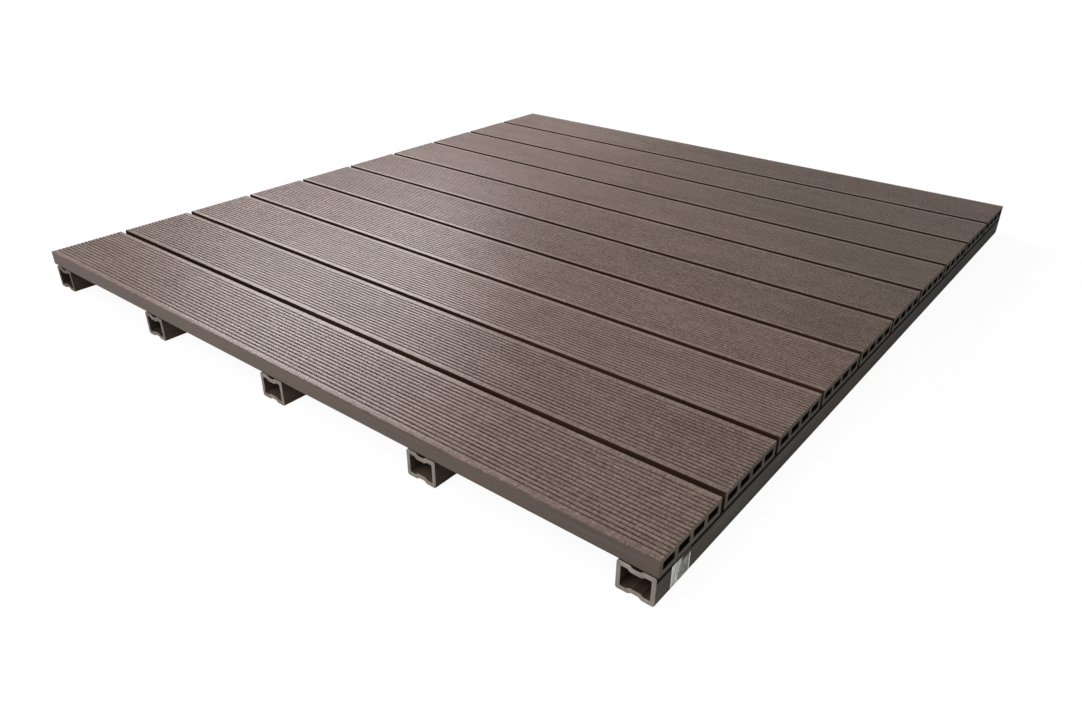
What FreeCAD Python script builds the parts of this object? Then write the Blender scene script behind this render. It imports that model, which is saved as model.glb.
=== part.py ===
import FreeCAD
import Part

import math
import os

# Composite deck panel: ten hollow grooved boards laid across five hollow joists.
# Millimetres, +Z up. The origin is on the ground under the middle of the whole panel.
# X runs along the boards, Y runs from the front board to the back board.

# Deck boards: an extruded section with four chambers and a grooved top
BOARD_COUNT = 10
BOARD_LENGTH = 1310.0
BOARD_WIDTH = 135.0
BOARD_THICKNESS = 25.0
BOARD_GAP = 8.0
BOARD_TOP_RADIUS = 1.5
BOARD_BOTTOM_RADIUS = 2.0

# Chambers that run through each board, and the walls and webs between them
CHAMBER_COUNT = 4
CHAMBER_WEB = 8.0
CHAMBER_SIDE_WALL = 7.5
CHAMBER_FLOOR = 7.0
CHAMBER_ROOF = 7.0

# Grooves along the top of each board, as many as fit between the plain edge strips
GROOVE_PITCH = 7.0
GROOVE_EDGE_STRIP = 9.5
GROOVE_MOUTH = 2.6
GROOVE_FLOOR = 1.4
GROOVE_DEPTH = 1.2

# Joists: an extruded tube with a dent along the middle of its top and bottom webs
JOIST_WIDTH = 50.0
JOIST_HEIGHT = 40.0
JOIST_SIDE_WALL = 5.5
JOIST_WEB_WALL = 6.0
JOIST_CORNER_RADIUS = 3.0
JOIST_FRONT_OVERHANG = 1.0
JOIST_BACK_OVERHANG = 7.0
DENT_MOUTH = 17.0
DENT_FLOOR = 10.0
DENT_DEPTH = 3.0
DENT_RADIUS = 3.0

# Places of the joists: the outer ones stand in from the board ends, and the
# inner ones lie at these shares of the distance between the outer centre lines
LEFT_JOIST_INSET = 9.0
RIGHT_JOIST_INSET = 1.0
JOIST_SHARES = (0.0, 0.245, 0.498, 0.743, 1.0)

# Hexagon head screws, driven up from the bottom dent through the joist into the board's
# middle web. Radii are to the corners, and shanks and holes are six-sided as the heads are.
SCREW_SIDES = 6
SCREW_SHANK_RADIUS = 2.0
SCREW_BITE = 17.0
SCREW_TIP_LENGTH = 4.0
SCREW_HEAD_RADIUS = 3.75
SCREW_HEAD_HEIGHT = 2.5
SCREW_HOLE_CLEARANCE = 0.2
SCREW_PILOT_CLEARANCE = 0.1
SCREW_PILOT_END_GAP = 0.5

# Blank paper label on the outer side of the right joist, between the rounded edges
LABEL_LENGTH = 40.0
LABEL_THICKNESS = 0.3
LABEL_FROM_FRONT = 31.0

# Sizes that follow from the ones above
CHAMBER_WEBS_WIDTH = (CHAMBER_COUNT - 1) * CHAMBER_WEB
CHAMBER_WIDTH = (BOARD_WIDTH - 2 * CHAMBER_SIDE_WALL - CHAMBER_WEBS_WIDTH) / CHAMBER_COUNT
CHAMBER_HEIGHT = BOARD_THICKNESS - CHAMBER_FLOOR - CHAMBER_ROOF
GROOVED_WIDTH = BOARD_WIDTH - 2 * GROOVE_EDGE_STRIP - GROOVE_MOUTH
GROOVE_COUNT = int(GROOVED_WIDTH / GROOVE_PITCH) + 1
BOARD_PITCH = BOARD_WIDTH + BOARD_GAP
DECK_DEPTH = BOARD_COUNT * BOARD_WIDTH + (BOARD_COUNT - 1) * BOARD_GAP
JOIST_LENGTH = DECK_DEPTH + JOIST_FRONT_OVERHANG + JOIST_BACK_OVERHANG
BOARD_START_X = -BOARD_LENGTH / 2
JOIST_START_Y = -JOIST_LENGTH / 2
DECK_START_Y = JOIST_START_Y + JOIST_FRONT_OVERHANG
FIRST_JOIST_X = BOARD_START_X + LEFT_JOIST_INSET + JOIST_WIDTH / 2
LAST_JOIST_X = BOARD_START_X + BOARD_LENGTH - RIGHT_JOIST_INSET - JOIST_WIDTH / 2


def board_front(index):
    """Y of the front face of a board."""
    return DECK_START_Y + index * BOARD_PITCH


def joist_centres():
    """X of the centre line of each joist, from left to right."""
    span = LAST_JOIST_X - FIRST_JOIST_X
    return [FIRST_JOIST_X + share * span for share in JOIST_SHARES]


def screw_rows():
    """Y of the screw in each board, over the board's middle web."""
    return [board_front(index) + BOARD_WIDTH / 2 for index in range(BOARD_COUNT)]


def hexagon(centre, row, height, radius):
    """Closed wire of a regular hexagon about a screw's axis, with two corners along the joist."""
    corners = []
    for step in range(SCREW_SIDES + 1):
        angle = math.pi / 2 + 2 * math.pi * step / SCREW_SIDES
        corners.append(
            FreeCAD.Vector(centre + radius * math.cos(angle), row + radius * math.sin(angle), height)
        )
    return Part.makePolygon(corners)


def hexagon_bar(centre, row, low, high, radius):
    """Six-sided bar about a screw's axis, from one height to another."""
    return Part.Face(hexagon(centre, row, low, radius)).extrude(FreeCAD.Vector(0, 0, high - low))


def rounded_wire(corners, place):
    """Closed wire of lines and corner arcs.

    corners holds (u, v, radius) round the outline, and place(u, v) gives the point in space.
    """
    starts = []
    mids = []
    ends = []
    count = len(corners)
    for index, (u, v, radius) in enumerate(corners):
        before = corners[index - 1]
        after = corners[(index + 1) % count]
        to_before = FreeCAD.Vector(before[0] - u, before[1] - v, 0).normalize()
        to_after = FreeCAD.Vector(after[0] - u, after[1] - v, 0).normalize()
        corner = FreeCAD.Vector(u, v, 0)
        half_angle = to_before.getAngle(to_after) / 2
        setback = radius / math.tan(half_angle)
        starts.append(corner + to_before * setback)
        ends.append(corner + to_after * setback)
        if radius > 0:
            inward = (to_before + to_after).normalize()
            reach = radius / math.sin(half_angle) - radius
            mids.append(corner + inward * reach)
        else:
            mids.append(None)
    edges = []
    for index in range(count):
        following = (index + 1) % count
        if mids[index] is not None:
            arc_points = [place(p.x, p.y) for p in (starts[index], mids[index], ends[index])]
            edges.append(Part.Arc(*arc_points).toShape())
        line_start = place(ends[index].x, ends[index].y)
        line_end = place(starts[following].x, starts[following].y)
        edges.append(Part.makeLine(line_start, line_end))
    return Part.Wire(edges)


def rectangle(low_u, low_v, width, height):
    """Corners of a rectangle, none of them rounded."""
    return [
        (low_u, low_v, 0.0),
        (low_u + width, low_v, 0.0),
        (low_u + width, low_v + height, 0.0),
        (low_u, low_v + height, 0.0),
    ]


def board_section_corners():
    """Outline of a board's section, anticlockwise from its front bottom corner."""
    corners = [
        (0.0, 0.0, BOARD_BOTTOM_RADIUS),
        (BOARD_WIDTH, 0.0, BOARD_BOTTOM_RADIUS),
        (BOARD_WIDTH, BOARD_THICKNESS, BOARD_TOP_RADIUS),
    ]
    last_groove = BOARD_WIDTH / 2 + (GROOVE_COUNT - 1) * GROOVE_PITCH / 2
    for index in range(GROOVE_COUNT):
        centre = last_groove - index * GROOVE_PITCH
        corners.append((centre + GROOVE_MOUTH / 2, BOARD_THICKNESS, 0.0))
        corners.append((centre + GROOVE_FLOOR / 2, BOARD_THICKNESS - GROOVE_DEPTH, 0.0))
        corners.append((centre - GROOVE_FLOOR / 2, BOARD_THICKNESS - GROOVE_DEPTH, 0.0))
        corners.append((centre - GROOVE_MOUTH / 2, BOARD_THICKNESS, 0.0))
    corners.append((0.0, BOARD_THICKNESS, BOARD_TOP_RADIUS))
    return corners


def make_board(index):
    """One hollow board with its pilot holes from below."""
    front = board_front(index)

    def place(u, v):
        return FreeCAD.Vector(BOARD_START_X, front + u, JOIST_HEIGHT + v)

    wires = [rounded_wire(board_section_corners(), place)]
    for chamber in range(CHAMBER_COUNT):
        low_u = CHAMBER_SIDE_WALL + chamber * (CHAMBER_WIDTH + CHAMBER_WEB)
        corners = rectangle(low_u, CHAMBER_FLOOR, CHAMBER_WIDTH, CHAMBER_HEIGHT)
        wires.append(rounded_wire(corners, place))
    section = Part.makeFace(wires, "Part::FaceMakerBullseye")
    board = section.extrude(FreeCAD.Vector(BOARD_LENGTH, 0, 0))

    pilot_top = JOIST_HEIGHT + SCREW_BITE + SCREW_PILOT_END_GAP
    pilot_radius = SCREW_SHANK_RADIUS + SCREW_PILOT_CLEARANCE
    row = screw_rows()[index]
    pilots = [
        hexagon_bar(centre, row, JOIST_HEIGHT, pilot_top, pilot_radius) for centre in joist_centres()
    ]
    return board.cut(pilots)


def dented_corners(half_width, half_height, corner_radius, half_mouth, half_floor):
    """Rectangle about the middle of the tube, with a dent in its top and bottom sides."""
    half_floor_height = half_height - DENT_DEPTH
    corners = []
    for side in (-1, 1):
        corners.append((side * half_width, side * half_height, corner_radius))
        corners.append((side * half_mouth, side * half_height, DENT_RADIUS))
        corners.append((side * half_floor, side * half_floor_height, DENT_RADIUS))
        corners.append((-side * half_floor, side * half_floor_height, DENT_RADIUS))
        corners.append((-side * half_mouth, side * half_height, DENT_RADIUS))
        corners.append((-side * half_width, side * half_height, corner_radius))
    return corners


def make_joist(centre):
    """One joist with clearance holes through both webs."""

    def place(u, v):
        return FreeCAD.Vector(centre + u, JOIST_START_Y, JOIST_HEIGHT / 2 + v)

    outer = dented_corners(
        JOIST_WIDTH / 2, JOIST_HEIGHT / 2, JOIST_CORNER_RADIUS, DENT_MOUTH / 2, DENT_FLOOR / 2
    )
    dent_slope = math.atan2(DENT_DEPTH, (DENT_MOUTH - DENT_FLOOR) / 2)
    wall_shift = JOIST_WEB_WALL * math.tan(dent_slope / 2)
    inner = dented_corners(
        JOIST_WIDTH / 2 - JOIST_SIDE_WALL,
        JOIST_HEIGHT / 2 - JOIST_WEB_WALL,
        0.0,
        DENT_MOUTH / 2 + wall_shift,
        DENT_FLOOR / 2 + wall_shift,
    )
    wires = [rounded_wire(outer, place), rounded_wire(inner, place)]
    section = Part.makeFace(wires, "Part::FaceMakerBullseye")
    joist = section.extrude(FreeCAD.Vector(0, JOIST_LENGTH, 0))
    hole_radius = SCREW_SHANK_RADIUS + SCREW_HOLE_CLEARANCE
    holes = [hexagon_bar(centre, row, 0, JOIST_HEIGHT, hole_radius) for row in screw_rows()]
    return joist.cut(holes)


def make_screw(centre, row):
    """One screw, its head seated on the floor of the joist's bottom dent."""
    tip = JOIST_HEIGHT + SCREW_BITE
    shank_end = tip - SCREW_TIP_LENGTH
    head_bottom = DENT_DEPTH - SCREW_HEAD_HEIGHT
    head = hexagon_bar(centre, row, head_bottom, DENT_DEPTH, SCREW_HEAD_RADIUS)
    shank = hexagon_bar(centre, row, DENT_DEPTH, shank_end, SCREW_SHANK_RADIUS)
    point = Part.Vertex(centre, row, tip)
    tip_base = hexagon(centre, row, shank_end, SCREW_SHANK_RADIUS)
    return head.fuse([shank, Part.makeLoft([tip_base, point], True, True)])


def make_label(centre):
    """Blank label on the flat part of a joist's outer side."""
    corner = FreeCAD.Vector(
        centre + JOIST_WIDTH / 2, DECK_START_Y + LABEL_FROM_FRONT, JOIST_CORNER_RADIUS
    )
    height = JOIST_HEIGHT - 2 * JOIST_CORNER_RADIUS
    return Part.makeBox(LABEL_THICKNESS, LABEL_LENGTH, height, corner)


def export(shape, node):
    """Write one node and print its size."""
    shape.exportStep("parts/" + node + ".step")
    box = shape.BoundBox
    print(
        "%-18s solids %2d valid %s volume %.1f cm3 box %.1f %.1f %.1f to %.1f %.1f %.1f"
        % (
            node,
            len(shape.Solids),
            shape.isValid(),
            shape.Volume / 1000,
            box.XMin,
            box.YMin,
            box.ZMin,
            box.XMax,
            box.YMax,
            box.ZMax,
        )
    )


def main():
    """Build every node of the panel."""
    os.makedirs("parts", exist_ok=True)
    for index in range(BOARD_COUNT):
        export(make_board(index), "board_%02d" % (index + 1))
    centres = joist_centres()
    for index, centre in enumerate(centres):
        export(make_joist(centre), "joist_%d" % (index + 1))
        screws = [make_screw(centre, row) for row in screw_rows()]
        export(Part.makeCompound(screws), "screws_joist_%d" % (index + 1))
    export(make_label(centres[-1]), "blank_label")


main()
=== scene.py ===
"""Looks of a composite decking panel: ten hollow grooved boards laid across five hollow joists.

Sizes in the dataclasses are millimetres; meshes, lamps and the camera are in metres. +X runs
along the boards, +Y from the front board to the back one, and +Z is up.
"""

import logging
import math
from dataclasses import dataclass, field
from enum import Enum
from functools import partial
from types import TracebackType
from typing import Any, Callable, Optional, Sequence, Union

import bmesh
import bpy
from mathutils import Matrix, Vector

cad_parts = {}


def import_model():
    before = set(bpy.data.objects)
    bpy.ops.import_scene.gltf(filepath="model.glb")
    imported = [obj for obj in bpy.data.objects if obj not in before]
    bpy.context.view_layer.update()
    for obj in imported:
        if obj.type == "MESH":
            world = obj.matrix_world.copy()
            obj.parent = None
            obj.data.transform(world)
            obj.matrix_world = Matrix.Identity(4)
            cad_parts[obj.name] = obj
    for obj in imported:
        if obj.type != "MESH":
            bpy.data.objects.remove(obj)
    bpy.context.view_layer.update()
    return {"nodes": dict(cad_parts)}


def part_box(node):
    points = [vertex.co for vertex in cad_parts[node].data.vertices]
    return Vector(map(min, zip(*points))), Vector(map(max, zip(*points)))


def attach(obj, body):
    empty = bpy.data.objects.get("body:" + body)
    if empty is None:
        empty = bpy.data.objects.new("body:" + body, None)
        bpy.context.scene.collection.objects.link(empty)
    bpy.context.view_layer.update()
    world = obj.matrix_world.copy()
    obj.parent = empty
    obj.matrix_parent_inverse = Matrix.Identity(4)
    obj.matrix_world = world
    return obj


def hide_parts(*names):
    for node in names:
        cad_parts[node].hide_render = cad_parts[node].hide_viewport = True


LOG = logging.getLogger("deck_panel")

MM = 0.001
WELD = 1e-6
CLOSE = 1e-5
SMOOTH_ANGLE = math.radians(35)
# Share of a face's direction that lies along an axis when the face leans, looks or is square to it
LEANING, FACING, SQUARE = 0.05, 0.3, 0.9
# Part of a wall's thickness past which a face belongs to the hollow behind the wall
PAST_WALL = 0.9
# Sides of a round hole in the composite, and how far its cutter stands past the face it goes through
HOLE_SIDES = 16
HOLE_REACH = 1.0

Adder = Callable[..., Any]

PLUS = {"operation": "ADD"}
TIMES = {"operation": "MULTIPLY"}
TIMES_PLUS = {"operation": "MULTIPLY_ADD"}
# A MapRange with it takes the value, where it starts and ends, and what it gives before and after
STEP = {"interpolation_type": "SMOOTHSTEP"}
# A Mix node's sockets for two colours go by number, as its number sockets have the same names
COLOURS = {"data_type": "RGBA"}
UNDER, OVER, MIXED = 6, 7, 2
# Where nearly all of a noise lies
NOISE_SPAN = (0.3, 0.7)

BOARD_NODES = tuple("board_%02d" % number for number in range(1, 11))
JOIST_NODES = tuple("joist_%d" % number for number in range(1, 6))


class Element(Enum):
    """What an edit-mode operator acts on."""

    VERT = "VERT"
    EDGE = "EDGE"
    FACE = "FACE"


class Grain(Enum):
    """The way a finish runs: along the boards or along the joists."""

    ALONG_BOARDS = "x"
    ALONG_JOISTS = "y"


# For each way a finish runs: the axis across it, the bars' spacing and the first bar's low edge
BAR_ROWS = {Grain.ALONG_BOARDS: ("Y", 143.0, -718.0), Grain.ALONG_JOISTS: ("X", 320.0, -800.0)}
# Metres from one bar's stretch of the pattern to another's, at most
BAR_SLIDE = 9.0


class Way(Enum):
    """A direction that painted shade comes on along."""

    RIGHT = (1.0, 0.0, 0.0)
    BACK = (0.0, 1.0, 0.0)
    UP = (0.0, 0.0, 1.0)
    BACK_RIGHT = (1.0, 1.0, 0.0)


def deselect() -> None:
    """Leave nothing selected, so that an operator acts only on what is picked next."""
    for thing in bpy.context.selected_objects:
        thing.select_set(False)


def select_only(thing: bpy.types.Object) -> None:
    """Make one object the only selected and the active one.

    Args:
        thing: The object to act on next.
    """
    deselect()
    thing.select_set(True)
    bpy.context.view_layer.objects.active = thing


def near(value: float, place: float) -> bool:
    """Say whether a number lies at a place, in metres."""
    return abs(value - place) < CLOSE


def is_end_edge(edge: bmesh.types.BMEdge) -> bool:
    """Say whether an edge lies between a bar's end face and its length.

    Args:
        edge: An edge of a bar that lies along X.

    Returns:
        True where one of its two faces looks along X and the other doesn't.
    """
    if len(edge.link_faces) != 2:
        return False
    low, high = sorted(abs(face.normal.x) for face in edge.link_faces)
    return low < FACING and high > SQUARE


class Bench:
    """Edit mode on one mesh object, where parts are picked by their place or direction."""

    def __init__(self, thing: bpy.types.Object) -> None:
        """Keep the mesh object that is worked on."""
        self.thing = thing

    def __enter__(self) -> "Bench":
        """Go into edit mode on the object alone.

        Returns:
            The bench itself.
        """
        select_only(self.thing)
        bpy.ops.object.mode_set(mode="EDIT")
        return self

    def __exit__(
        self,
        kind: Optional[type[BaseException]],
        error: Optional[BaseException],
        trace: Optional[TracebackType],
    ) -> None:
        """Go back to object mode."""
        bpy.ops.object.mode_set(mode="OBJECT")

    def pick(self, element: Element, test: Callable[[Any], bool]) -> None:
        """Select exactly the parts that pass a test.

        Args:
            element: Whether vertices, edges or faces are tested.
            test: Says of one bmesh part whether it is selected.
        """
        bpy.ops.mesh.select_mode(type=element.value)
        bpy.ops.mesh.select_all(action="DESELECT")
        mesh = bmesh.from_edit_mesh(self.thing.data)
        parts = {Element.VERT: mesh.verts, Element.EDGE: mesh.edges, Element.FACE: mesh.faces}[element]
        for part in parts:
            if test(part):
                part.select_set(True)
        mesh.select_flush_mode()
        bmesh.update_edit_mesh(self.thing.data)

    def pick_all(self) -> None:
        """Select the whole mesh."""
        bpy.ops.mesh.select_all(action="SELECT")

    def move(self, x: float = 0.0, y: float = 0.0, z: float = 0.0) -> None:
        """Move what is picked, in metres."""
        bpy.ops.transform.translate(value=(x, y, z))

    def cut_at(self, places: Sequence[float], axis: int = 1) -> None:
        """Cut the whole mesh by planes across one axis.

        Args:
            places: Where the planes stand, in metres.
            axis: 0, 1 or 2 for the axis that the planes are square to.
        """
        normal = [0.0, 0.0, 0.0]
        normal[axis] = 1.0
        for place in places:
            point = [0.0, 0.0, 0.0]
            point[axis] = place
            self.pick_all()
            bpy.ops.mesh.bisect(plane_co=point, plane_no=normal, threshold=WELD)

    def round_corners(self, test: Callable[[Any], bool], setback: float, segments: int) -> None:
        """Round the corners of an outline.

        Args:
            test: Says of a vertex whether it is rounded.
            setback: How far before the corner the rounding starts, in metres.
            segments: How many straight pieces make the rounding.
        """
        self.pick(Element.VERT, test)
        bpy.ops.mesh.bevel(
            offset_type="OFFSET", offset=setback, segments=segments, profile=0.5, affect="VERTICES"
        )

    def fill(self) -> None:
        """Fill the outlines with faces, and leave the inner ones open."""
        self.pick_all()
        bpy.ops.mesh.fill(use_beauty=True)

    def draw_out(self, length: float) -> None:
        """Make a flat section a solid along X, its faces looking outwards.

        Args:
            length: How far the section is drawn out, in metres.
        """
        self.pick_all()
        bpy.ops.mesh.extrude_region_move(TRANSFORM_OT_translate={"value": (length, 0.0, 0.0)})
        self.pick_all()
        bpy.ops.mesh.remove_doubles(threshold=WELD)
        bpy.ops.mesh.normals_make_consistent(inside=False)

    def break_end_edges(self, arris: float, segments: int) -> None:
        """Take the sharpness off the edges of a bar's sawn ends.

        Args:
            arris: Width of the broken edge on each face, in metres.
            segments: How many straight pieces make it.
        """
        self.pick(Element.EDGE, is_end_edge)
        bpy.ops.mesh.bevel(offset=arris, segments=segments, clamp_overlap=True)


def standing_outline(name: str, low: tuple[float, float], size: tuple[float, float]) -> bpy.types.Object:
    """Add a rectangle that stands in the YZ plane and keep only its four edges.

    Args:
        name: The object's name.
        low: Y and Z of its lowest corner, in metres.
        size: Its width and height, in metres.

    Returns:
        The new object, at the origin.
    """
    deselect()
    bpy.ops.mesh.primitive_plane_add(size=1.0, rotation=(0.0, math.pi / 2, 0.0))
    thing = bpy.context.object
    thing.name = name
    bpy.ops.object.transform_apply(location=False, rotation=True, scale=False)
    with Bench(thing) as bench:
        bench.pick_all()
        bpy.ops.transform.resize(value=(1.0, size[0], size[1]), center_override=(0.0, 0.0, 0.0))
        bench.move(y=low[0] + size[0] / 2, z=low[1] + size[1] / 2)
        bpy.ops.mesh.delete(type="ONLY_FACE")
    return thing


def upright_bar(
    sides: int, radius: float, low: float, high: float, spot: tuple[float, float] = (0.0, 0.0)
) -> bpy.types.Object:
    """Add an upright bar with flat ends, all in millimetres.

    Args:
        sides: How many sides it has.
        radius: From its middle to its corners.
        low: Height of its lower end.
        high: Height of its upper end.
        spot: X and Y of its middle.

    Returns:
        The bar, its place in its mesh.
    """
    deselect()
    bpy.ops.mesh.primitive_cylinder_add(
        vertices=sides,
        radius=radius * MM,
        depth=(high - low) * MM,
        location=(spot[0] * MM, spot[1] * MM, (low + high) / 2 * MM),
    )
    bpy.ops.object.transform_apply(location=True, rotation=True, scale=True)
    return bpy.context.object


def apply_modifier(thing: bpy.types.Object, kind: str, **settings: Any) -> None:
    """Add a modifier with its settings and apply it.

    Args:
        thing: The object that gets it.
        kind: The modifier's type.
        **settings: Its properties by name.
    """
    select_only(thing)
    modifier = thing.modifiers.new(kind.lower(), kind)
    for name, value in settings.items():
        setattr(modifier, name, value)
    bpy.ops.object.modifier_apply(modifier=modifier.name)


def repeat(thing: bpy.types.Object, count: int, step: float) -> None:
    """Repeat a mesh in a row along Y and weld the copies where they meet.

    Args:
        thing: The object that is repeated in itself.
        count: How many there are in all.
        step: From one copy to the next, in metres.
    """
    apply_modifier(
        thing,
        "ARRAY",
        count=count,
        use_relative_offset=False,
        use_constant_offset=True,
        constant_offset_displace=(0.0, step, 0.0),
        use_merge_vertices=True,
        merge_threshold=WELD,
    )


def join(base: bpy.types.Object, others: Sequence[bpy.types.Object]) -> bpy.types.Object:
    """Join objects into one.

    Args:
        base: The object that takes the others in and keeps its name.
        others: The objects that go into it.

    Returns:
        The joined object.
    """
    select_only(base)
    for other in others:
        other.select_set(True)
    bpy.ops.object.join()
    return base


def drill(thing: bpy.types.Object, radius: float, end: float, spots: Sequence[tuple[float, float]]) -> None:
    """Drill round holes into an object from below, all in millimetres.

    Args:
        thing: The object that is drilled.
        radius: Radius of the holes.
        end: Height that they end at.
        spots: X and Y of each hole.
    """
    bars = [upright_bar(HOLE_SIDES, radius, -HOLE_REACH, end, spot) for spot in spots]
    cutter = join(bars[0], bars[1:])
    apply_modifier(thing, "BOOLEAN", operation="DIFFERENCE", object=cutter, solver="EXACT")
    bpy.data.objects.remove(cutter)


def smooth(thing: bpy.types.Object, angle: float = SMOOTH_ANGLE) -> None:
    """Shade an object smooth and keep its sharp edges.

    Args:
        thing: The object to shade.
        angle: Least angle of an edge that stays sharp, in radians.
    """
    select_only(thing)
    bpy.ops.object.shade_smooth_by_angle(angle=angle)


def copy_of(master: bpy.types.Object, name: str, offset: Sequence[float]) -> bpy.types.Object:
    """Copy an object with a mesh of its own, moved in its mesh and not as an object.

    Args:
        master: The object that is copied.
        name: The copy's name.
        offset: Where the copy goes, from the master's place.

    Returns:
        The copy.
    """
    thing = master.copy()
    thing.data = master.data.copy()
    thing.name = name
    thing.data.name = name
    thing.data.transform(Matrix.Translation(offset))
    bpy.context.scene.collection.objects.link(thing)
    return thing


def put_in_frame(piece: bpy.types.Object, node: str) -> None:
    """Tell the frame what a finished piece is, and report it.

    Args:
        piece: The finished piece.
        node: The CAD node whose place it takes.
    """
    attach(piece, "root")
    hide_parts(node)
    LOG.info("%s: %d faces", piece.name, len(piece.data.polygons))


def colour(code: str) -> tuple[float, float, float, float]:
    """Turn an sRGB hex code into a linear colour.

    Args:
        code: Six hex digits after a hash.

    Returns:
        Red, green, blue and alpha.
    """
    linear = []
    for start in (1, 3, 5):
        value = int(code[start : start + 2], 16) / 255
        linear.append(value / 12.92 if value <= 0.04045 else ((value + 0.055) / 1.055) ** 2.4)
    return (linear[0], linear[1], linear[2], 1.0)


def add_node(
    tree: bpy.types.NodeTree,
    kind: str,
    settings: Optional[dict[str, Any]] = None,
    inputs: Union[dict[Any, Any], Sequence[Any]] = (),
    output: Any = 0,
) -> Any:
    """Add a shader node with its settings, fixed inputs and links.

    Args:
        tree: The nodes it goes into.
        kind: The node's type, without the ShaderNode in front.
        settings: Properties of the node by name.
        inputs: Fixed values or output sockets to link from, in the order of the node's sockets or
            by a socket's name or number.
        output: Name or number of the output that is given back.

    Returns:
        That output's socket, or None for a node without outputs.
    """
    node = tree.nodes.new("ShaderNode" + kind)
    for name, value in (settings or {}).items():
        setattr(node, name, value)
    for key, value in inputs.items() if isinstance(inputs, dict) else enumerate(inputs):
        if isinstance(value, bpy.types.NodeSocket):
            tree.links.new(value, node.inputs[key])
        else:
            node.inputs[key].default_value = value
    return node.outputs[output] if node.outputs else None


def clear_nodes(owner: Union[bpy.types.Material, bpy.types.World]) -> Adder:
    """Turn the nodes of a material or a sky on and take out those that come with it.

    Args:
        owner: The material or sky.

    Returns:
        add_node for its nodes.
    """
    owner.use_nodes = True
    owner.node_tree.nodes.clear()
    return partial(add_node, owner.node_tree)


@dataclass(frozen=True)
class Finish:
    """A material; each kind of finish makes its own pattern."""

    name: str

    def build(self) -> bpy.types.Material:
        """Make the material.

        Returns:
            The new material, with its pattern linked to its shader.
        """
        material = bpy.data.materials.new(self.name)
        add = clear_nodes(material)
        surface = add("BsdfPrincipled", inputs=self.dress(add))
        add("OutputMaterial", inputs={"Surface": surface})
        return material

    def dress(self, add: Adder) -> dict[str, Any]:
        """Make the finish's pattern.

        Args:
            add: Adds a node to the material.

        Returns:
            What goes into the Principled shader, by socket.
        """
        raise NotImplementedError


@dataclass(frozen=True)
class PaintedShade:
    """Painted shade that comes on along one way: from where to where, how much before and after."""

    way: Way
    start: float
    end: float
    before: float
    after: float
    tone: str = "#1E1913"


@dataclass(frozen=True)
class Composite(Finish):
    """Wood plastic composite: wood flour bound in polyethylene, pushed hot through a die.

    The base of all its finishes: each bar has its own stretch of the pattern, and painted shade lies on it.
    """

    grain: Grain = Grain.ALONG_BOARDS
    painted_shades: tuple[PaintedShade, ...] = ()

    def bar_places(self, add: Adder) -> tuple[Any, Any, Any]:
        """Give each bar its own stretch of the pattern.

        Args:
            add: Adds a node to the material.

        Returns:
            The sockets of the pattern's place in metres, of a number from 0 to 1 for the bar, and of
            the true place.
        """
        spot = add("TexCoord", output="Object")
        axis, spacing, first = BAR_ROWS[self.grain]
        across = add("SeparateXYZ", None, (spot,), axis)
        row = add("Math", TIMES_PLUS, (across, 1 / (spacing * MM), -first / spacing))
        number = add("Math", {"operation": "FLOOR"}, (row,))
        chance = add("TexWhiteNoise", {"noise_dimensions": "1D"}, {"W": number}, "Value")
        slide = add("Math", TIMES, (chance, BAR_SLIDE))
        offset = add("CombineXYZ", None, (slide, slide, slide))
        return add("VectorMath", PLUS, (spot, offset)), chance, spot

    def streaks(self, add: Adder, place: Any, size: tuple[float, float], detail: float = 2.0) -> Any:
        """Noise drawn out along the bar.

        Args:
            add: Adds a node to the material.
            place: The pattern's place.
            size: Length and width of a streak in millimetres.
            detail: How much finer noise lies on it.

        Returns:
            The noise's socket, about 0.5 on average.
        """
        along, across = (1 / (extent * MM) for extent in size)
        scale = (along, across, across) if self.grain is Grain.ALONG_BOARDS else (across, along, across)
        drawn = add("Mapping", inputs={"Vector": place, "Scale": scale})
        return add("TexNoise", inputs={"Vector": drawn, "Scale": 1.0, "Detail": detail, "Roughness": 0.55})

    def lay_painted_shade(self, add: Adder, spot: Any, body: Any) -> Any:
        """Lay the painted shade over a colour.

        Args:
            add: Adds a node to the material.
            spot: The true place's socket.
            body: The colour's socket before the shade.

        Returns:
            The colour's socket with the shade on it.
        """
        # Each ramp darkens the colour as painted shade
        for shade_ramp in self.painted_shades:
            along = add("VectorMath", {"operation": "DOT_PRODUCT"}, (spot, shade_ramp.way.value), "Value")
            reach = (shade_ramp.start * MM, shade_ramp.end * MM)
            share = add("MapRange", STEP, (along, *reach, shade_ramp.before, shade_ramp.after))
            body = add("Mix", COLOURS, {0: share, UNDER: body, OVER: colour(shade_ramp.tone)}, MIXED)
        return body


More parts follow.
